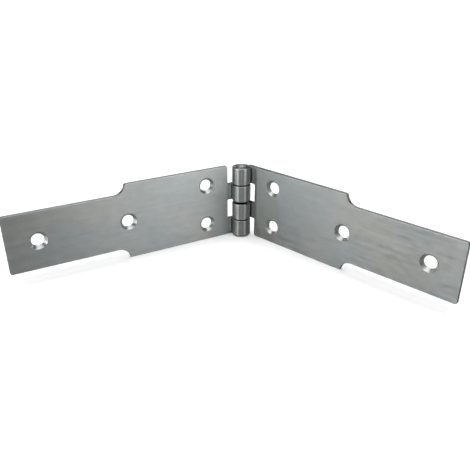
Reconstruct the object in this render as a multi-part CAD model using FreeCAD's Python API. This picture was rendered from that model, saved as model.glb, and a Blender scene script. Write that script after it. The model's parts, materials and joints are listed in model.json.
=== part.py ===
import FreeCAD, Part
import math
import os

# Strap hinge: two leaves of the same pressing turn on one fixed pin.
#
# Each leaf is one piece of steel strip: a wide head, a narrower strap with countersunk screw holes, and two
# tabs whose ends are rolled into knuckles. The second leaf is the first turned end for end, so the four
# knuckles interleave along the pin.
#
# Frame: millimetres, +Z up along the pin, X along the fixed leaf, which runs towards -X. The origin is on the
# fixed leaf's back face, straight behind the pin and at mid height.

# Leaf, measured from the pin's axis along the leaf
leaf_length = 125.0  # to the end of the strap
head_height = 41.0  # along the pin
strap_width = 30.0
plate_thickness = 2.0
step_end = 71.5  # where the head has narrowed to the strap
step_radius = 6.0  # hollow curve between head and strap
corner_radius = 1.2  # every outer corner of the plate

# Screw holes, countersunk from the front face
hole_diameter = 6.2
countersink_diameter = 9.0
countersink_angle = 90.0  # full angle of the cone
pair_distance = 20.0  # from the pin's axis to the two holes beside the knuckles
pair_margin = 9.25  # from the head's long edges to those two holes
end_margin = 15.0  # from the strap's end to the last hole; the middle hole is halfway to the pair

# Knuckles and pin
pin_diameter = 6.3
pin_clearance = 0.05  # radial, between the pin and the knuckles that turn on it
knuckle_inset = 0.5  # the barrel stops this far inside the head's edges
outer_gap = 0.4  # between the first and second knuckle, and the third and fourth
middle_gap = 1.2  # between the second and third knuckle
notch_clearance = 1.7  # from a knuckle to the edge of the other leaf beside it
seam_gap = 0.2  # from the end of a roll to the leaf's front face
pin_chamfer = 0.5
dimple_radius = 0.7  # centre mark in each end of the pin
dimple_depth = 0.4

# Pose as stored
open_angle = 106.5  # between the two front faces

# Worked out from the values above
bore_radius = pin_diameter / 2 + pin_clearance
barrel_radius = bore_radius + plate_thickness
notch_edge = barrel_radius + notch_clearance
barrel_end = head_height / 2 - knuckle_inset
knuckle_pitch = head_height / 4
pin_axis = FreeCAD.Vector(0, -barrel_radius, 0)

X = FreeCAD.Vector(1, 0, 0)
Y = FreeCAD.Vector(0, 1, 0)
Z = FreeCAD.Vector(0, 0, 1)
ORIGIN = FreeCAD.Vector(0, 0, 0)


# A leaf is drawn in its own frame: x along the leaf from the pin's axis, y from the axis to the back face.
# Its first and third knuckle from the top are its own, and its second and fourth places are notches.

def plate_point(x, z):
    """A point on the plate's front face."""
    return FreeCAD.Vector(x, bore_radius, z)


def step_corner():
    """Where the hollow curve leaves the head: its x, and the height at which it starts."""
    centre_height = strap_width / 2 + step_radius
    start_height = min(head_height / 2, centre_height)
    reach = math.sqrt(step_radius**2 - (centre_height - start_height) ** 2)
    return step_end - reach, start_height


def upper_edge():
    """The plate's outline above mid height, from the knuckle side to the strap's end."""
    head, strap = head_height / 2, strap_width / 2
    corner_x, start_height = step_corner()
    start_angle = math.atan2(start_height - strap - step_radius, corner_x - step_end)
    start_angle %= 2 * math.pi
    middle_angle = (start_angle + 1.5 * math.pi) / 2
    arc_middle = plate_point(
        step_end + step_radius * math.cos(middle_angle),
        strap + step_radius + step_radius * math.sin(middle_angle),
    )
    arc_start, arc_end = plate_point(corner_x, start_height), plate_point(step_end, strap)
    corners = [plate_point(notch_edge, 0), plate_point(notch_edge, head), plate_point(corner_x, head)]
    if start_height < head:
        corners.append(arc_start)
    edges = [Part.LineSegment(a, b).toShape() for a, b in zip(corners, corners[1:])]
    edges.append(Part.Arc(arc_start, arc_middle, arc_end).toShape())
    tip = [arc_end, plate_point(leaf_length, strap), plate_point(leaf_length, 0)]
    edges += [Part.LineSegment(a, b).toShape() for a, b in zip(tip, tip[1:])]
    return edges


def rounded_corners(plate):
    """The plate with its free corners rounded: below the last notch, at the steps and at the strap's end."""
    corner_x, _ = step_corner()
    head, strap = head_height / 2, strap_width / 2
    places = [(notch_edge, -head), (corner_x, head), (corner_x, -head)]
    places += [(leaf_length, strap), (leaf_length, -strap)]
    corners = []
    for edge in plate.Edges:
        middle = edge.CenterOfMass
        through = abs(abs(edge.tangentAt(edge.FirstParameter).y) - 1) < 1e-6
        if through and any(math.hypot(middle.x - x, middle.z - z) < 0.01 for x, z in places):
            corners.append(edge)
    return plate.makeFillet(corner_radius, corners)


def plate():
    """Head and strap, without tabs or holes."""
    upper = upper_edge()
    lower = [edge.mirror(ORIGIN, Z) for edge in upper]
    outline = Part.Wire(Part.sortEdges(upper + lower)[0])
    blank = Part.Face(outline).extrude(Y * plate_thickness)
    return rounded_corners(blank.removeSplitter())


def polar(radius, degrees):
    """A point in the knuckle's section, its angle counted from the leaf towards the back face."""
    angle = math.radians(degrees)
    return FreeCAD.Vector(radius * math.cos(angle), radius * math.sin(angle), 0)


def knuckle(low, high, tab_high):
    """One rolled tab: tangent to the plate behind the pin, round the front, back to the leaf's front face.

    The roll reaches from low to high along the pin, and the flat tab behind it from low to tab_high."""
    back, roll_end = 90.0, 360.0 + math.degrees(math.asin((bore_radius - seam_gap) / barrel_radius))
    middle = (back + roll_end) / 2
    edges = [
        Part.Arc(polar(bore_radius, back), polar(bore_radius, middle), polar(bore_radius, roll_end)),
        Part.LineSegment(polar(bore_radius, roll_end), polar(barrel_radius, roll_end)),
        Part.Arc(polar(barrel_radius, roll_end), polar(barrel_radius, middle), polar(barrel_radius, back)),
        Part.LineSegment(polar(barrel_radius, back), polar(bore_radius, back)),
    ]
    section = Part.Face(Part.Wire([edge.toShape() for edge in edges]))
    section.translate(Z * low)
    roll = section.extrude(Z * (high - low))
    tab = Part.makeBox(notch_edge, plate_thickness, tab_high - low, FreeCAD.Vector(0, bore_radius, low))
    return roll.fuse(tab)


def screw_hole(x, z):
    """The tool for one countersunk hole, entering at the front face."""
    radius, mouth = hole_diameter / 2, countersink_diameter / 2
    depth = (mouth - radius) / math.tan(math.radians(countersink_angle / 2))
    front = plate_point(x, z)
    drill = Part.makeCylinder(radius, 3 * plate_thickness, front - Y * plate_thickness, Y)
    cone = Part.makeCone(mouth, radius, depth, front, Y)
    mouth_relief = Part.makeCylinder(mouth, plate_thickness, front - Y * plate_thickness, Y)
    return drill.fuse(cone).fuse(mouth_relief)


def leaf():
    """The pressing, with the first and third knuckle from the top, in its own frame."""
    first = knuckle(knuckle_pitch + outer_gap / 2, barrel_end, head_height / 2)
    third = knuckle(outer_gap / 2 - knuckle_pitch, -middle_gap / 2, -middle_gap / 2)
    body = plate().fuse([first, third]).removeSplitter()
    pair_height = head_height / 2 - pair_margin
    end_distance = leaf_length - end_margin
    middle_distance = (pair_distance + end_distance) / 2
    places = [(pair_distance, -pair_height), (pair_distance, pair_height)]
    places += [(middle_distance, 0), (end_distance, 0)]
    return body.cut([screw_hole(x, z) for x, z in places])


def moving_leaf():
    """Runs towards +X when flat, then turned about the pin to the stored pose."""
    piece = leaf()
    piece.rotate(ORIGIN, Z, open_angle - 180.0)
    piece.translate(pin_axis)
    return piece


def fixed_leaf():
    """The same pressing turned end for end, so its knuckles are the second and fourth."""
    piece = leaf()
    piece.rotate(ORIGIN, Y, 180.0)
    piece.translate(pin_axis)
    return piece


def hinge_pin():
    """Plain pin, chamfered at both ends, swollen where it is driven into the fixed leaf's lowest knuckle."""
    radius = pin_diameter / 2
    length = 2 * barrel_end
    grip_top = -knuckle_pitch - outer_gap / 2
    foot = -Z * barrel_end
    pin = Part.makeCylinder(radius, length, foot, Z)
    grip = Part.makeCylinder(bore_radius, grip_top + barrel_end, foot, Z)
    pin = pin.fuse(grip)
    for end, inward in ((Z * barrel_end, -Z), (foot, Z)):
        rim = bore_radius if end.z < 0 else radius
        collar = Part.makeCylinder(rim + pin_chamfer, pin_chamfer, end, inward)
        cone = Part.makeCone(rim - pin_chamfer, rim, pin_chamfer, end, inward)
        dimple = Part.makeCone(dimple_radius, dimple_radius / 4, dimple_depth, end, inward)
        pin = pin.cut(collar.cut(cone)).cut(dimple)
    pin.translate(pin_axis)
    return pin


def main():
    os.makedirs("parts", exist_ok=True)
    pieces = {"fixed_leaf": fixed_leaf(), "moving_leaf": moving_leaf(), "hinge_pin": hinge_pin()}
    for name, shape in pieces.items():
        solid = shape.Solids[0]
        if len(shape.Solids) != 1 or not solid.isValid():
            raise ValueError(f"{name} is not one valid solid")
        solid.exportStep(f"parts/{name}.step")
        box = solid.BoundBox
        print(f"{name}: {solid.Volume:.1f} mm3, {box.XLength:.2f} x {box.YLength:.2f} x {box.ZLength:.2f} mm")


main()
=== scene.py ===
import json
import math

import bpy
from bpy.props import FloatProperty, FloatVectorProperty, PointerProperty
from bpy.types import Operator, Panel, PropertyGroup
from mathutils import Matrix, Vector
from mathutils.geometry import delaunay_2d_cdt


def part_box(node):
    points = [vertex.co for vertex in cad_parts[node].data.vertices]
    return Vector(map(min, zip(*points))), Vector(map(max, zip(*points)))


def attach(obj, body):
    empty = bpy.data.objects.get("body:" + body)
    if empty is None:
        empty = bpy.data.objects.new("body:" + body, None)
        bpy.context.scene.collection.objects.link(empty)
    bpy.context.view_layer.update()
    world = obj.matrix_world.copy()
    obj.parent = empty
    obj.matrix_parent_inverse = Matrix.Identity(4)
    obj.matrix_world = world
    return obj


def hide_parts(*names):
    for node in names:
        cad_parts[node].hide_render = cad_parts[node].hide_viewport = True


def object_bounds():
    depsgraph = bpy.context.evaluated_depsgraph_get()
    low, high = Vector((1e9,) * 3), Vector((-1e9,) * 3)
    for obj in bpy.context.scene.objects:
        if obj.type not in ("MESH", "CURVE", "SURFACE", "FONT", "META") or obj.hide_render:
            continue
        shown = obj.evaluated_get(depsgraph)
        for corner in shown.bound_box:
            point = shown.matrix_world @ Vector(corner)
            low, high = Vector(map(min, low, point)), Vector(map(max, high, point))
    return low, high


bl_info = {
    "name": "Strap Hinge",
    "version": (1, 0, 0),
    "blender": (4, 5, 0),
    "location": "View3D > Sidebar > Hinge",
    "description": "Zinc-plated strap hinge with rolled knuckles, built on its packed frame",
    "category": "Object",
}

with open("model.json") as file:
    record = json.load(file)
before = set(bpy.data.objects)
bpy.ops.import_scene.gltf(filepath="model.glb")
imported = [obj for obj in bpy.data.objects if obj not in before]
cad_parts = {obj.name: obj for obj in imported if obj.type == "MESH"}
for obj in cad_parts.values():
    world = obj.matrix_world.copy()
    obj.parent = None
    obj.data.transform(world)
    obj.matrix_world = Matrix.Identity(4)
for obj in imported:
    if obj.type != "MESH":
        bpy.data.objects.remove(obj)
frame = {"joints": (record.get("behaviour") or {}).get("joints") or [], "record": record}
cad_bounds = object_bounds()

# Sizes that the frame gives. A leaf is drawn in its own frame: along the leaf from the pin's axis, up along
# the pin, and deep from the front face to the back face.
MM = 0.001
swing = frame["joints"][0]
mounts = {mount["name"]: mount for mount in frame["record"]["mounts"]}
pin_low, pin_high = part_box("hinge_pin")
leaf_low, leaf_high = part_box("fixed_leaf")
pin_axis = Vector(swing["pos_m"])
open_angle = math.radians(-swing["range_deg"][0])
bore_radius = (pin_high.x - pin_low.x) / 2
barrel_radius = leaf_high.y - pin_axis.y
thickness = barrel_radius - bore_radius
barrel_end = pin_high.z
leaf_length = pin_axis.x - leaf_low.x
head_height = leaf_high.z - leaf_low.z
pair_place = -mounts["fixed_pair_holes"]["pos_m"][0]
pair_spacing = mounts["fixed_pair_holes"]["dims"]["spacing_y_mm"] * MM
strap_place = -mounts["fixed_strap_holes"]["pos_m"][0]
strap_spacing = mounts["fixed_strap_holes"]["dims"]["spacing_x_mm"] * MM
hole_radius = mounts["fixed_pair_holes"]["dims"]["hole_r_mm"] * MM

# How finely round shapes are drawn
ARC_STEP = math.radians(7.5)
BEND_STEP = math.radians(6.0)
EDGE_STEPS = 4
HOLE_SIDES = 64
PIN_SIDES = 72

# Small shapes and fades of the leaves and the pin, which don't follow the hinge's size
TAB_CORNER = 0.55 * MM
TAB_END = 1.3 * MM  # bends stop this far from a tab's end, clear of its corners
SHOULDER_START = 2.2 * MM  # the head's edge steps in to the barrel's end between these two places
SHOULDER_END = 0.9 * MM
SHOULDER_ROUND = 1.3 * MM
ROLL_FADE = 2.0 * MM  # stretch of the tab over which the plate's edges turn into the knuckle's
EDGE_FADE = 1.15 * MM  # from the outline to where the flat faces' own finish begins
HOLE_FADE = 0.9 * MM
HOLE_BACK_ROUND = 0.2 * MM
HOLE_THROAT_ROUND = 0.25 * MM
HOLE_MOUTH_ROUND = 0.2 * MM
PIN_ROUND = 0.1 * MM
# A ring of plated, polished zinc round the pin's centre mark: partly wear, partly a painted highlight
DIMPLE_RUB_AND_GLINT = 0.15 * MM  # how far round the centre mark the pin's end is rubbed

# The finish's patterns: repeats in a metre along the strip, across it and through it
LINES = (22.0, 900.0, 900.0)
HAIRLINES = (60.0, 5200.0, 5200.0)
MOTTLE = (200.0, 340.0, 340.0)
PATCHES = 32.0
PATTERN_SHIFT = Vector((0.4, 0.3, 0.2))  # from one leaf's pattern to the next, so that they differ


def length(name, description, default):
    """A length that a user may change, in metres."""
    return FloatProperty(
        name=name, description=description, default=default, unit="LENGTH", min=0.0, precision=5
    )


def colour(name, description, default):
    """A colour that a user may change."""
    return FloatVectorProperty(
        name=name, description=description, default=default, subtype="COLOR", size=3, min=0.0, max=1.0
    )


def factor(name, description, default):
    """A share between 0 and 1 that a user may change."""
    return FloatProperty(
        name=name, description=description, default=default, subtype="FACTOR", min=0.0, max=1.0
    )


class HINGE_PG_leaf(PropertyGroup):
    """Sizes of one leaf's pressing."""

    strap_width: length("Strap width", "Height of the narrow strap", 30.0 * MM)
    step_end: length("Step end", "From the pin's axis to where the head has narrowed to the strap", 71.5 * MM)
    step_radius: length("Step radius", "Hollow curve between head and strap", 6.0 * MM)
    corner_radius: length("Corner radius", "Outer corners of the plate", 1.2 * MM)
    outer_gap: length("Outer gap", "Between the first and second knuckle, and the third and fourth", 0.4 * MM)
    middle_gap: length("Middle gap", "Between the second and third knuckle", 1.2 * MM)
    notch_clearance: length("Notch clearance", "From a knuckle to the other leaf's edge beside it", 1.7 * MM)
    seam_gap: length("Seam gap", "From the end of a roll to the leaf's front face", 0.2 * MM)
    countersink_radius: length("Countersink radius", "Mouth of the countersink on the front face", 4.5 * MM)
    edge_round: length("Edge round", "Rounding of the plate's cut edges", 0.3 * MM)
    roll_round: length("Roll round", "Rounding of the knuckles' outer edges", 0.5 * MM)


class HINGE_PG_pin(PropertyGroup):
    """Sizes of the pin."""

    clearance: length("Clearance", "Between the pin and the knuckles that turn on it", 0.05 * MM)
    chamfer: length("Chamfer", "Chamfer at both ends of the pin", 0.5 * MM)
    dimple_radius: length("Dimple radius", "Centre mark in each end of the pin", 0.7 * MM)
    dimple_depth: length("Dimple depth", "Depth of the centre mark", 0.4 * MM)


class HINGE_PG_finish(PropertyGroup):
    """Colours of the zinc plating."""

    cool_zinc: colour("Cool zinc", "The plating's bluish patches", (0.475, 0.515, 0.52))
    warm_zinc: colour("Warm zinc", "The plating's yellowish patches", (0.53, 0.542, 0.515))
    # Also the colour of the painted glints on the knuckles' outer edges
    bright_zinc_and_glint: colour("Bright zinc", "Rubbed edges and high spots", (0.66, 0.67, 0.675))
    cut_steel: colour("Cut steel", "The sheared sides of the plate under thin plating", (0.15, 0.158, 0.162))
    # Near black for the gaps: partly grease, partly painted shade between the knuckles and on the pin
    grease_and_gap_shade: colour("Grease", "Dark grease in the gaps between the knuckles", (0.02, 0.02, 0.018))
    roughness: factor("Roughness", "How dull the plating is", 0.33)


class HINGE_PG_stage(PropertyGroup):
    """Floor, light and camera."""

    floor_colour: colour("Floor colour", "The plain floor", (0.97, 0.97, 0.97))
    mirrored_floor: colour("Mirrored floor", "The floor as the metal mirrors it", (0.2, 0.2, 0.2))
    view_heading: FloatProperty(
        name="View heading",
        description="Direction of view, turned from the leaf's back face normal towards the pin side",
        default=math.radians(29.615),
        subtype="ANGLE",
    )
    view_drop: FloatProperty(
        name="View drop",
        description="How far the camera looks down",
        default=math.radians(25.574),
        subtype="ANGLE",
    )
    view_distance: length("View distance", "From the camera to the point it looks at", 310.0 * MM)
    view_target: FloatVectorProperty(
        name="View target",
        description="Point that the camera looks at",
        default=(-2.6 * MM, -2.6 * MM, -22.1 * MM),
        subtype="TRANSLATION",
        unit="LENGTH",
        size=3,
        precision=5,
    )
    lens: FloatProperty(
        name="Lens", description="Focal length in millimetres on a 36 mm sensor", default=40.7, min=1.0
    )


# Paths and meshes


def rounded_path(corners, closed):
    """Runs and arcs through corners of (across, up, radius).

    Gives (point, right-hand normal, deepest inset) for each point of the path."""
    places = [Vector(corner[:2]) for corner in corners]
    count = len(places)
    path = []
    for index, place in enumerate(places):
        radius = corners[index][2]
        ahead = places[(index + 1) % count] - place
        behind = place - places[index - 1]
        if not closed and index == 0:
            behind = ahead
        if not closed and index == count - 1:
            ahead = behind
        heading = math.atan2(behind.y, behind.x)
        turn = math.atan2(behind.cross(ahead), behind.dot(ahead))
        side = 1.0 if turn > 0 else -1.0
        if radius == 0.0:
            middle = heading + turn / 2
            path.append((place, Vector((math.sin(middle), -math.cos(middle))), leaf_length))
            continue
        start = place - behind.normalized() * radius * math.tan(abs(turn) / 2)
        centre = start + Vector((-math.sin(heading), math.cos(heading))) * radius * side
        steps = max(2, math.ceil(abs(turn) / ARC_STEP))
        for step in range(steps + 1):
            now = heading + turn * step / steps
            normal = Vector((math.sin(now), -math.cos(now)))
            path.append((centre + normal * radius * side, normal, radius if turn > 0 else leaf_length))
    return path


class SheetDraft:
    """A plate being drawn flat: places are (along, up, deep), and faces name them by number.

    A place's rim says how much wear it has, with painted glints on the knuckles' edges. Its cut runs from 0,
    plated, over 1, sheared, to 2, near black with grease and painted shade."""

    def __init__(self):
        self.places = []
        self.normals = []
        self.rims = []
        self.cuts = []
        self.faces = []

    def add(self, place, normal, rim, cut):
        self.places.append(Vector(place))
        self.normals.append(Vector(normal))
        self.rims.append(rim)
        self.cuts.append(cut)
        return len(self.places) - 1

    def band(self, lower, upper, inward):
        """Faces between two closed rings with the same number of places."""
        for index in range(len(lower)):
            following = (index + 1) % len(lower)
            quad = [lower[index], upper[index], upper[following], lower[following]]
            self.faces.append(quad[::-1] if inward else quad)

    def cap(self, outer, holes, creases, reverse):
        """Fills the face inside the outer ring and outside the holes, with edges along the creases."""
        rings = [outer] + holes
        numbers = [number for ring in rings for number in ring]
        where = {number: index for index, number in enumerate(numbers)}
        flat = [Vector((self.places[number].x, self.places[number].y)) for number in numbers]
        edges = []
        for ring in rings:
            edges += [(where[a], where[b]) for a, b in zip(ring, ring[1:] + ring[:1])]
        edges += [(where[a], where[b]) for a, b in creases]
        filled = delaunay_2d_cdt(flat, edges, [], 2, 1e-9)
        if len(filled[0]) != len(flat):
            raise RuntimeError("the leaf's outline crosses itself")
        inside = [set(hole) for hole in holes]
        for face in filled[2]:
            corners = [numbers[filled[3][corner][0]] for corner in face]
            if not any(hole.issuperset(corners) for hole in inside):
                self.faces.append(corners[::-1] if reverse else corners)


def step_arc(leaf):
    """The hollow curve above mid height, from the strap to the head: its places, then the head's corner."""
    head, strap = head_height / 2, leaf.strap_width / 2
    centre = Vector((leaf.step_end, strap + leaf.step_radius))
    start = -math.pi / 2
    end = -math.pi + math.asin(min(1.0, (centre.y - head) / leaf.step_radius))
    clear = 1.2 * leaf.corner_radius / leaf.step_radius  # the arc stops short of the head's rounded corner
    steps = math.ceil((start - end - clear) / (ARC_STEP / 2))
    angles = [start + (end + clear - start) * step / steps for step in range(steps + 1)]
    places = [centre + Vector((math.cos(a), math.sin(a))) * leaf.step_radius for a in angles]
    corner = centre + Vector((math.cos(end), math.sin(end))) * leaf.step_radius
    return [(place.x, place.y, 0.0) for place in places] + [(corner.x, head, leaf.corner_radius)]


def leaf_outline(leaf, roll_length, bends):
    """The flat blank's outline, anticlockwise seen from the front, with the two tabs that are rolled up."""
    head, strap = head_height / 2, leaf.strap_width / 2
    pitch = head_height / 4
    notch = barrel_radius + leaf.notch_clearance
    corner = leaf.corner_radius
    upper = step_arc(leaf)
    lower = [(x, -z, radius) for x, z, radius in reversed(upper)]
    first_low, third_high = pitch + leaf.outer_gap / 2, -leaf.middle_gap / 2
    third_low = leaf.outer_gap / 2 - pitch
    outline = [(notch, -head, corner)] + lower
    outline += [(leaf_length, -strap, corner), (leaf_length, strap, corner)] + upper
    outline += [(SHOULDER_START, head, SHOULDER_ROUND), (SHOULDER_END, barrel_end, SHOULDER_ROUND)]
    for low, high in ((first_low, barrel_end), (third_low, third_high)):
        outline += [(-bend, high, 0.0) for bend in bends]
        outline += [(-roll_length, high, TAB_CORNER), (-roll_length, low, TAB_CORNER)]
        outline += [(-bend, low, 0.0) for bend in reversed(bends)]
        outline += [(notch, low, TAB_CORNER)]
        if low == first_low:
            outline += [(notch, third_high, TAB_CORNER)]
    return outline


def edge_levels(front, back):
    """Section through a rounded edge, front to back: (inset, depth, outward, deepward, rim, cut)."""
    quarter = [math.pi / 2 * step / EDGE_STEPS for step in range(EDGE_STEPS + 1)]
    levels = []
    for angles, radius, face, side in ((quarter, front, 0.0, -1.0), (quarter[::-1], back, thickness, 1.0)):
        for angle in angles:
            sine, cosine = math.sin(angle), math.cos(angle)
            depth = face - side * radius * (1 - cosine)
            levels.append((radius * (1 - sine), depth, sine, side * cosine, 1.0 - 0.4 * cosine, sine))
    return levels


def draw_edge(draft, path, leaf):
    """The blank's rounded edge all round. Gives the two rings where its flat faces begin.

    The part that is rolled up has rounder outer edges with more wear and painted glints, and near black
    grease with painted shade on its sides in the gaps."""
    rows = []
    for point, normal, deepest in path:
        rolled = min(1.0, max(0.0, 0.5 - point.x / ROLL_FADE))
        # In the gaps the knuckles' sides are painted near black: grease and painted shade between the
        # knuckles
        in_gap = abs(normal.y) > 0.9 and abs(point.y) < barrel_end - MM
        grease_and_shade_share = rolled if in_gap else 0.0
        back = leaf.edge_round + (leaf.roll_round - leaf.edge_round) * rolled
        section = edge_levels(leaf.edge_round, back)
        inner = min(EDGE_FADE, 0.99 * deepest)
        section.insert(0, (inner, 0.0, 0.0, -1.0, 0.0, 0.0))
        section.append((inner, thickness, 0.0, 1.0, 0.0, 0.0))
        row = []
        for inset, depth, outward, deepward, rim, cut in section:
            place = point - normal * inset
            facing = normal * outward
            # Rolled knuckles get twice the rim: wear, and painted glints on their edges
            wear_and_glint = rim * (1.0 + rolled)
            # The steepest part of those sides turns from sheared steel to the near black of grease and
            # painted shade
            dark = cut * (1.0 + grease_and_shade_share * cut**4)
            row.append(draft.add((place.x, place.y, depth), (facing.x, facing.y, deepward), wear_and_glint, dark))
        rows.append(row)
    rings = [list(ring) for ring in zip(*rows)]
    for lower, upper in zip(rings, rings[1:]):
        draft.band(lower, upper, inward=False)
    return rings[0], rings[-1]


def draw_hole(draft, centre, leaf):
    """The walls of one countersunk hole. Gives the front and the back ring where the flat faces begin."""
    mouth = leaf.countersink_radius
    depth = mouth - hole_radius
    profile = rounded_path(
        [
            (hole_radius + HOLE_FADE, thickness, 0.0),
            (hole_radius, thickness, HOLE_BACK_ROUND),
            (hole_radius, depth, HOLE_THROAT_ROUND),
            (mouth, 0.0, HOLE_MOUTH_ROUND),
            (mouth + HOLE_FADE, 0.0, 0.0),
        ],
        closed=False,
    )
    rings = []
    for point, normal, _ in reversed(profile):
        at_face = point.x > hole_radius + 0.9 * HOLE_FADE and abs(normal.x) < 1e-6
        rim = 0.0 if at_face else 0.5
        cut = 0.0 if at_face else 0.45 * abs(normal.x)
        ring = []
        for step in range(HOLE_SIDES):
            angle = 2 * math.pi * step / HOLE_SIDES
            ray = Vector((math.cos(angle), math.sin(angle)))
            place = centre + ray * point.x
            facing = ray * normal.x
            ring.append(draft.add((place.x, place.y, point.y), (facing.x, facing.y, normal.y), rim, cut))
        rings.append(ring)
    for lower, upper in zip(rings, rings[1:]):
        draft.band(lower, upper, inward=True)
    return rings[0], rings[-1]


def roll_up(place, normal):
    """Bends a place and its normal in the flat blank round the pin, where it lies beyond the pin's axis."""
    along, up, deep = place
    across, rise, out = normal
    radius = bore_radius + deep
    if along >= 0.0:
        return Vector((along, radius, up)), Vector((across, out, rise))
    angle = math.pi / 2 - along / (bore_radius + thickness / 2)
    ray = Vector((math.cos(angle), math.sin(angle), 0.0))
    run = Vector((math.sin(angle), -math.cos(angle), 0.0))
    return ray * radius + Vector((0.0, 0.0, up)), run * across + ray * out + Vector((0.0, 0.0, rise))


def mesh_object(name, seat, places, normals, faces, layers):
    """A smooth mesh set in its seat, with the given normals, and with layers of (name, kind, values)."""
    mesh = bpy.data.meshes.new(name)
    mesh.from_pydata([seat @ place for place in places], [], faces)
    mesh.shade_smooth()
    turn = seat.to_3x3()
    mesh.normals_split_custom_set_from_vertices([(turn @ normal).normalized() for normal in normals])
    for layer, kind, values in layers:
        attribute = mesh.attributes.new(layer, kind, "POINT")
        if kind == "FLOAT_VECTOR":
            attribute.data.foreach_set("vector", [number for value in values for number in value])
        else:
            attribute.data.foreach_set("value", values)
    if mesh.validate():
        raise RuntimeError(f"{name} has faces that aren't valid")
    piece = bpy.data.objects.new(name, mesh)
    bpy.context.scene.collection.objects.link(piece)
    return piece


def bend_creases(path, bend_run, bend_count):
    """For each bend, the two places on the outline that face each other across each tab."""
    by_bend = {}
    for index, (point, _, _) in enumerate(path):
        if point.x <= 0.0:
            by_bend.setdefault(round(-point.x / bend_run, 3), []).append(index)
    creases = []
    for bend in range(bend_count + 1):
        sides = sorted(by_bend[float(bend)], key=lambda index: path[index][0].y)
        creases += [tuple(sides[0:2]), tuple(sides[2:4])]
    return creases


def grain_across(place, rolled_normal):
    """The direction in the rolled-up surface that lies across the rolling lines."""
    _, run = roll_up(place, Vector((1.0, 0.0, 0.0)))
    grain = rolled_normal.cross(run)
    return grain.normalized() if grain.length > 0.1 else Vector((0.0, 0.0, 1.0))


def make_leaf(name, leaf, seat, pattern_shift):
    """One leaf: the blank is drawn flat with its holes, its tabs are rolled up, and it is set in its seat."""
    middle_radius = bore_radius + thickness / 2
    roll_angle = 1.5 * math.pi + math.asin((bore_radius - leaf.seam_gap) / barrel_radius)
    roll_length = roll_angle * middle_radius
    bend_run = middle_radius * BEND_STEP
    bend_count = math.floor((roll_length - TAB_END) / bend_run)
    bends = [bend_run * step for step in range(bend_count + 1)]
    path = rounded_path(leaf_outline(leaf, roll_length, bends), closed=True)
    draft = SheetDraft()
    front, back = draw_edge(draft, path, leaf)
    creases = bend_creases(path, bend_run, bend_count)
    centres = [Vector((pair_place, side * pair_spacing / 2)) for side in (-1, 1)]
    centres += [Vector((strap_place + side * strap_spacing / 2, 0.0)) for side in (-1, 1)]
    holes = [draw_hole(draft, centre, leaf) for centre in centres]
    draft.cap(front, [hole[0] for hole in holes], [(front[a], front[b]) for a, b in creases], reverse=False)
    draft.cap(back, [hole[1] for hole in holes], [(back[a], back[b]) for a, b in creases], reverse=True)
    rolled = [roll_up(place, normal) for place, normal in zip(draft.places, draft.normals)]
    turn = seat.to_3x3()
    across = [turn @ grain_across(place, normal) for place, (_, normal) in zip(draft.places, rolled)]
    layers = [
        ("strip", "FLOAT_VECTOR", [place + pattern_shift for place in draft.places]),
        ("across", "FLOAT_VECTOR", across),
        ("rim", "FLOAT", draft.rims),
        ("cut", "FLOAT", draft.cuts),
    ]
    places, normals = zip(*rolled)
    return mesh_object(name, seat, places, normals, draft.faces, layers)


def pin_bareness_and_shade(place, normal, pin):
    """From 0, plated, to 1, bare, to 2, near black with grease and painted shade.

    Round its centre marks the pin is plated and polished, a ring that is partly wear and partly a painted
    highlight. Its end faces are mostly bare. Its centre marks, its chamfers and its body, where that shows in
    the gaps, are near black with grease and painted shade."""
    from_axis = math.hypot(place.x, place.y)
    # A plated ring with a polished rim round the centre mark: wear and a painted highlight
    if abs(from_axis - pin.dimple_radius) < DIMPLE_RUB_AND_GLINT:
        return 0.1
    # Centre marks, chamfers and the body in the gaps are painted near black: grease and painted shade
    return 1.2 if abs(normal.z) > 0.9 and from_axis > pin.dimple_radius else 2.0


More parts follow.
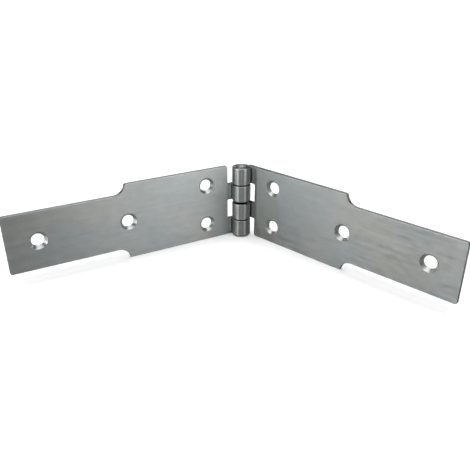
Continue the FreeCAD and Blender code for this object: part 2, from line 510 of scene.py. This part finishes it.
def make_pin(name, pin, seat):
    """The pin as a turned shape, from the middle of its foot to the middle of its top."""
    body, grip = bore_radius - pin.clearance, bore_radius
    grip_top = -head_height / 4
    dimple = [(pin.dimple_radius, 0.0, PIN_ROUND), (pin.dimple_radius / 4, -pin.dimple_depth, PIN_ROUND)]
    dimple.append((0.0, -pin.dimple_depth, 0.0))
    foot = [(radius, -barrel_end - height, rounding) for radius, height, rounding in reversed(dimple)]
    foot += [(grip - pin.chamfer, -barrel_end, PIN_ROUND), (grip, -barrel_end + pin.chamfer, PIN_ROUND)]
    foot += [(grip, grip_top - PIN_ROUND, PIN_ROUND / 2), (body, grip_top, PIN_ROUND / 2)]
    top = [(body, barrel_end - pin.chamfer, PIN_ROUND), (body - pin.chamfer, barrel_end, PIN_ROUND)]
    top += [(radius, barrel_end + height, rounding) for radius, height, rounding in dimple]
    profile = rounded_path(foot + top, closed=False)
    places, normals, faces, rings = [], [], [], []
    for point, normal, _ in profile:
        if point.x < 1e-9:
            places.append(Vector((0.0, 0.0, point.y)))
            normals.append(Vector((0.0, 0.0, -1.0 if point.y < 0 else 1.0)))
            rings.append([len(places) - 1])
            continue
        ring = []
        for step in range(PIN_SIDES):
            angle = 2 * math.pi * step / PIN_SIDES
            ray = Vector((math.cos(angle), math.sin(angle), 0.0))
            places.append(ray * point.x + Vector((0.0, 0.0, point.y)))
            normals.append(ray * normal.x + Vector((0.0, 0.0, normal.y)))
            ring.append(len(places) - 1)
        rings.append(ring)
    for lower, upper in zip(rings, rings[1:]):
        for step in range(PIN_SIDES):
            following = (step + 1) % PIN_SIDES
            if len(lower) == 1:
                faces.append([lower[0], upper[following], upper[step]])
            elif len(upper) == 1:
                faces.append([lower[step], lower[following], upper[0]])
            else:
                faces.append([lower[step], lower[following], upper[following], upper[step]])
    # The lines run along the pin. The small height only keeps the direction from vanishing on the end faces
    layers = [
        ("strip", "FLOAT_VECTOR", [Vector((place.z, place.x, place.y)) for place in places]),
        ("rim", "FLOAT", [1.0 if abs(normal.z) > 0.3 else 0.2 for normal in normals]),
        ("cut", "FLOAT", [pin_bareness_and_shade(place, normal, pin) for place, normal in zip(places, normals)]),
        ("across", "FLOAT_VECTOR", [Vector((-normal.y, normal.x, 0.001)).normalized() for normal in normals]),
    ]
    return mesh_object(name, seat, places, normals, faces, layers)


# Materials


class NodeSheet:
    """Adds nodes to one material and joins them up."""

    def __init__(self, name):
        self.material = bpy.data.materials.new(name)
        self.material.use_nodes = True
        self.nodes = self.material.node_tree.nodes
        self.links = self.material.node_tree.links
        self.shader = self.nodes["Principled BSDF"]

    def feed(self, socket, source):
        if isinstance(source, bpy.types.NodeSocket):
            self.links.new(source, socket)
        else:
            socket.default_value = source

    def add(self, kind, settings=None, **inputs):
        node = self.nodes.new(kind)
        for key, value in (settings or {}).items():
            setattr(node, key, value)
        for key, source in inputs.items():
            self.feed(node.inputs[key.replace("_", " ")], source)
        return node

    def stretched(self, vector, scale):
        return self.add("ShaderNodeMapping", Vector=vector, Scale=scale).outputs["Vector"]

    def noise(self, vector, scale=1.0, detail=3.0, roughness=0.5):
        node = self.add("ShaderNodeTexNoise", Vector=vector, Scale=scale, Detail=detail, Roughness=roughness)
        return node.outputs["Fac"]

    def spread(self, value, low, high, to_low, to_high):
        node = self.add("ShaderNodeMapRange", Value=value)
        for key, number in (("From Min", low), ("From Max", high), ("To Min", to_low), ("To Max", to_high)):
            node.inputs[key].default_value = number
        return node.outputs["Result"]

    def sum_up(self, operation, first, second):
        node = self.add("ShaderNodeMath", {"operation": operation})
        self.feed(node.inputs[0], first)
        self.feed(node.inputs[1], second)
        return node.outputs["Value"]

    def blend(self, share, first, second, how="MIX"):
        node = self.add("ShaderNodeMix", {"data_type": "RGBA", "blend_type": how})
        in_use = [socket for socket in node.inputs if socket.enabled]
        for socket, source in zip(in_use, (share, first, second)):
            self.feed(socket, source)
        return next(socket for socket in node.outputs if socket.enabled)

    def bump(self, height, distance, strength, normal=None):
        node = self.add("ShaderNodeBump", Height=height, Distance=distance, Strength=strength)
        if normal is not None:
            self.feed(node.inputs["Normal"], normal)
        return node.outputs["Normal"]


def zinc_steel(name, finish):
    """Bright zinc plating over rolled strip or drawn wire, with fine lines along its run."""
    sheet = NodeSheet(name)
    run = sheet.add("ShaderNodeAttribute", {"attribute_name": "strip"}).outputs["Vector"]
    rim = sheet.add("ShaderNodeAttribute", {"attribute_name": "rim"}).outputs["Fac"]
    cut = sheet.add("ShaderNodeAttribute", {"attribute_name": "cut"}).outputs["Fac"]
    lines = sheet.noise(sheet.stretched(run, LINES), detail=4.0, roughness=0.6)
    hairlines = sheet.noise(sheet.stretched(run, HAIRLINES), detail=2.0)
    mottle = sheet.noise(sheet.stretched(run, MOTTLE))
    patches = sheet.noise(run, scale=PATCHES, detail=2.0)

    # Colour: tinted patches, streaks of grey, rims with wear and painted glints, sheared sides, and grease
    # with painted shade
    warmth = sheet.spread(patches, 0.34, 0.66, 0.0, 1.0)
    tint = sheet.blend(warmth, (*finish.cool_zinc, 1.0), (*finish.warm_zinc, 1.0))
    streaked = sheet.sum_up("MULTIPLY", lines, 0.5)
    grained = sheet.sum_up("ADD", streaked, sheet.sum_up("MULTIPLY", mottle, 0.5))
    grey = sheet.spread(grained, 0.3, 0.7, 0.92, 1.07)
    toned = sheet.blend(1.0, tint, grey, "MULTIPLY")
    # Share of bright zinc: wear on the rims, and painted glints on the knuckles' edges
    rub_and_glint = sheet.sum_up("MULTIPLY", rim, sheet.spread(mottle, 0.42, 0.62, 0.0, 0.45))
    wear_and_glint = sheet.blend(rub_and_glint, toned, (*finish.bright_zinc_and_glint, 1.0))
    sheared = sheet.blend(sheet.spread(cut, 0.3, 0.9, 0.0, 0.94), wear_and_glint, (*finish.cut_steel, 1.0))
    # A cut past 1 turns near black: grease and painted shade in the gaps and on the pin
    with_grease_and_shade = sheet.blend(sheet.spread(cut, 1.0, 2.0, 0.0, 0.9), sheared, (*finish.grease_and_gap_shade, 1.0))
    sheet.feed(sheet.shader.inputs["Base Color"], with_grease_and_shade)

    # Reflection, stretched across the rolling lines
    sheet.shader.inputs["Metallic"].default_value = 1.0
    sheet.shader.inputs["Anisotropic"].default_value = 0.85
    across = sheet.add("ShaderNodeAttribute", {"attribute_name": "across"}).outputs["Vector"]
    turned = sheet.add(
        "ShaderNodeVectorTransform",
        {"vector_type": "VECTOR", "convert_from": "OBJECT", "convert_to": "WORLD"},
        Vector=across,
    )
    sheet.feed(sheet.shader.inputs["Tangent"], turned.outputs["Vector"])

    # Dullness: even on the faces, duller on the sheared sides
    dull = sheet.spread(mottle, 0.3, 0.7, finish.roughness - 0.02, finish.roughness + 0.04)
    dull = sheet.sum_up("ADD", dull, sheet.spread(lines, 0.3, 0.7, -0.02, 0.04))
    dull = sheet.sum_up("ADD", dull, sheet.spread(cut, 0.0, 1.0, 0.0, 0.2))
    sheet.feed(sheet.shader.inputs["Roughness"], dull)

    # Relief: shallow waves, rolling lines and hairlines
    waves = sheet.bump(mottle, 0.01 * MM, 0.4)
    ruled = sheet.bump(lines, 0.02 * MM, 0.3, waves)
    sheet.feed(sheet.shader.inputs["Normal"], sheet.bump(hairlines, 0.006 * MM, 0.4, ruled))
    return sheet.material


# Stage

WINDOW = (0.35, 0.5)  # width and height of an upright softbox, in metres
WALL = (2.0, 0.2)
SOFTBOX_DISTANCE = 1.2
# Each softbox: name, degrees round from the camera's side (positive to its left), height angle in degrees,
# width and height, power in watts
SOFTBOXES = (
    ("right_side", -108.0, 10.0, WINDOW, 2.5),
    ("right_far", -60.0, 10.0, WINDOW, 2.3),
    ("right_near", -45.0, 10.0, WINDOW, 1.8),
    ("front_fill", 0.0, 10.0, WINDOW, 0.45),
    ("left_near", 45.0, 10.0, WINDOW, 3.3),
    ("left_middle", 60.0, 10.0, WINDOW, 1.3),
    ("left_far", 76.0, 10.0, WINDOW, 2.2),
    ("left_side", 107.0, 10.0, WINDOW, 2.5),
    ("back_wall", 180.0, 3.5, WALL, 8.0),
)
OVERHEAD_ANGLE = math.radians(70)
OVERHEAD_STRENGTH = 3.6
ROOM_COLOUR = (0.95, 0.97, 1.0, 1.0)
ROOM_STRENGTH = 0.03
PAPER_COLOUR = (1.0, 1.0, 1.0, 1.0)
FLOOR_REACH = 8.0  # from the middle of the floor to its sides
SENSOR_WIDTH = 36.0  # in millimetres, as the lens
NEAREST_SEEN = 0.01


def floor_material(stage):
    """Plain matt floor, pale to the eye and darker where the metal mirrors it."""
    sheet = NodeSheet("pale_floor")
    sheet.shader.inputs["Base Color"].default_value = (*stage.floor_colour, 1.0)
    sheet.shader.inputs["Roughness"].default_value = 0.9
    sheet.shader.inputs["Specular IOR Level"].default_value = 0.1
    mirrored = sheet.add("ShaderNodeBsdfDiffuse", Color=(*stage.mirrored_floor, 1.0)).outputs["BSDF"]
    by_ray = sheet.add("ShaderNodeLightPath").outputs["Is Glossy Ray"]
    mixed = sheet.nodes.new("ShaderNodeMixShader")
    for socket, source in zip(mixed.inputs, (by_ray, sheet.shader.outputs["BSDF"], mirrored)):
        sheet.feed(socket, source)
    sheet.feed(sheet.nodes["Material Output"].inputs["Surface"], mixed.outputs["Shader"])
    return sheet.material


def softbox(name, heading, rise, size, power, target):
    """A rectangular area light that looks at the target from a heading and a height angle."""
    light = bpy.data.lights.new(name, "AREA")
    light.shape = "RECTANGLE"
    light.size, light.size_y = size
    light.energy = power
    ray = Vector((math.sin(heading) * math.cos(rise), math.cos(heading) * math.cos(rise), math.sin(rise)))
    lamp = bpy.data.objects.new(name, light)
    lamp.location = target + ray * SOFTBOX_DISTANCE
    lamp.rotation_euler = (-ray).to_track_quat("-Z", "Y").to_euler()
    lamp.visible_camera = False
    bpy.context.scene.collection.objects.link(lamp)


def studio_world():
    """A dim room for the metal to mirror, with pale paper in sight beyond the floor."""
    world = bpy.data.worlds.new("studio")
    world.use_nodes = True
    nodes, links = world.node_tree.nodes, world.node_tree.links
    room = nodes["Background"]
    room.inputs["Color"].default_value = ROOM_COLOUR
    room.inputs["Strength"].default_value = ROOM_STRENGTH
    paper = nodes.new("ShaderNodeBackground")
    paper.inputs["Color"].default_value = PAPER_COLOUR
    in_sight = nodes.new("ShaderNodeLightPath").outputs["Is Camera Ray"]
    mixed = nodes.new("ShaderNodeMixShader")
    links.new(in_sight, mixed.inputs[0])
    links.new(room.outputs["Background"], mixed.inputs[1])
    links.new(paper.outputs["Background"], mixed.inputs[2])
    links.new(mixed.outputs["Shader"], nodes["World Output"].inputs["Surface"])
    return world


def overhead_light():
    """A soft sun straight above."""
    light = bpy.data.lights.new("overhead", "SUN")
    light.angle = OVERHEAD_ANGLE
    light.energy = OVERHEAD_STRENGTH
    bpy.context.scene.collection.objects.link(bpy.data.objects.new("overhead", light))


def make_floor(stage, height):
    """The floor, level with the foot of the hinge."""
    mesh = bpy.data.meshes.new("floor")
    corners = [(x * FLOOR_REACH, y * FLOOR_REACH, height) for x, y in ((-1, -1), (1, -1), (1, 1), (-1, 1))]
    mesh.from_pydata(corners, [], [(0, 1, 2, 3)])
    floor = bpy.data.objects.new("floor", mesh)
    bpy.context.scene.collection.objects.link(floor)
    floor.data.materials.append(floor_material(stage))


def make_camera(stage):
    """The camera, set back from its target along the direction of view."""
    ray = Vector((
        math.sin(stage.view_heading) * math.cos(stage.view_drop),
        math.cos(stage.view_heading) * math.cos(stage.view_drop),
        -math.sin(stage.view_drop),
    ))
    camera = bpy.data.objects.new("camera", bpy.data.cameras.new("camera"))
    camera.data.lens = stage.lens
    camera.data.sensor_width = SENSOR_WIDTH
    camera.data.clip_start = NEAREST_SEEN
    camera.location = Vector(stage.view_target) - ray * stage.view_distance
    camera.rotation_euler = ray.to_track_quat("-Z", "Y").to_euler()
    bpy.context.scene.collection.objects.link(camera)
    bpy.context.scene.camera = camera


# Operators


class HINGE_OT_make_leaves(Operator):
    """Makes both leaves and sets them round the pin"""

    bl_idname = "hinge.make_leaves"
    bl_label = "Make leaves"

    def execute(self, context):
        leaf = context.scene.hinge_leaf
        steel = zinc_steel("leaf_zinc", context.scene.hinge_finish)
        turns = {
            "fixed": Matrix.Rotation(math.pi, 4, "Y"),
            "moving": Matrix.Rotation(open_angle - math.pi, 4, "Z"),
        }
        for number, (side, turn) in enumerate(turns.items()):
            seat = Matrix.Translation(pin_axis) @ turn
            piece = make_leaf(f"{side}_leaf_plate", leaf, seat, PATTERN_SHIFT * (number + 1))
            piece.data.materials.append(steel)
            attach(piece, f"{side}_side")
            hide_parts(f"{side}_leaf")
        return {"FINISHED"}


class HINGE_OT_make_pin(Operator):
    """Makes the pin that both leaves turn on"""

    bl_idname = "hinge.make_pin"
    bl_label = "Make pin"

    def execute(self, context):
        piece = make_pin("turned_pin", context.scene.hinge_pin, Matrix.Translation(pin_axis))
        piece.data.materials.append(zinc_steel("pin_zinc", context.scene.hinge_finish))
        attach(piece, "fixed_side")
        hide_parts("hinge_pin")
        return {"FINISHED"}


class HINGE_OT_make_stage(Operator):
    """Makes the floor, the light and the camera"""

    bl_idname = "hinge.make_stage"
    bl_label = "Make stage"

    def execute(self, context):
        stage = context.scene.hinge_stage
        low, high = cad_bounds
        make_floor(stage, low[2])
        context.scene.world = studio_world()
        middle = (Vector(low) + Vector(high)) / 2
        camera_side = stage.view_heading + math.pi
        for name, side, rise, size, power in SOFTBOXES:
            softbox(name, camera_side + math.radians(side), math.radians(rise), size, power, middle)
        overhead_light()
        make_camera(stage)
        context.scene.view_settings.view_transform = "Standard"
        return {"FINISHED"}


class HINGE_PT_panel(Panel):
    """Sizes, colours and steps of the hinge"""

    bl_label = "Strap hinge"
    bl_idname = "HINGE_PT_panel"
    bl_space_type = "VIEW_3D"
    bl_region_type = "UI"
    bl_category = "Hinge"

    def draw(self, context):
        for group in GROUPS:
            column = self.layout.column(align=True)
            settings = getattr(context.scene, group)
            for name in settings.__annotations__:
                column.prop(settings, name)
        for operator in OPERATORS:
            self.layout.operator(operator.bl_idname)


GROUPS = {
    "hinge_leaf": HINGE_PG_leaf,
    "hinge_pin": HINGE_PG_pin,
    "hinge_finish": HINGE_PG_finish,
    "hinge_stage": HINGE_PG_stage,
}
OPERATORS = (HINGE_OT_make_leaves, HINGE_OT_make_pin, HINGE_OT_make_stage)


def register():
    for name, group in GROUPS.items():
        bpy.utils.register_class(group)
        setattr(bpy.types.Scene, name, PointerProperty(type=group))
    for operator in OPERATORS:
        bpy.utils.register_class(operator)
    bpy.utils.register_class(HINGE_PT_panel)


def unregister():
    bpy.utils.unregister_class(HINGE_PT_panel)
    for operator in reversed(OPERATORS):
        bpy.utils.unregister_class(operator)
    for name, group in GROUPS.items():
        delattr(bpy.types.Scene, name)
        bpy.utils.unregister_class(group)


def main():
    register()
    bpy.ops.hinge.make_leaves()
    bpy.ops.hinge.make_pin()
    bpy.ops.hinge.make_stage()


if __name__ == "__main__":
    main()
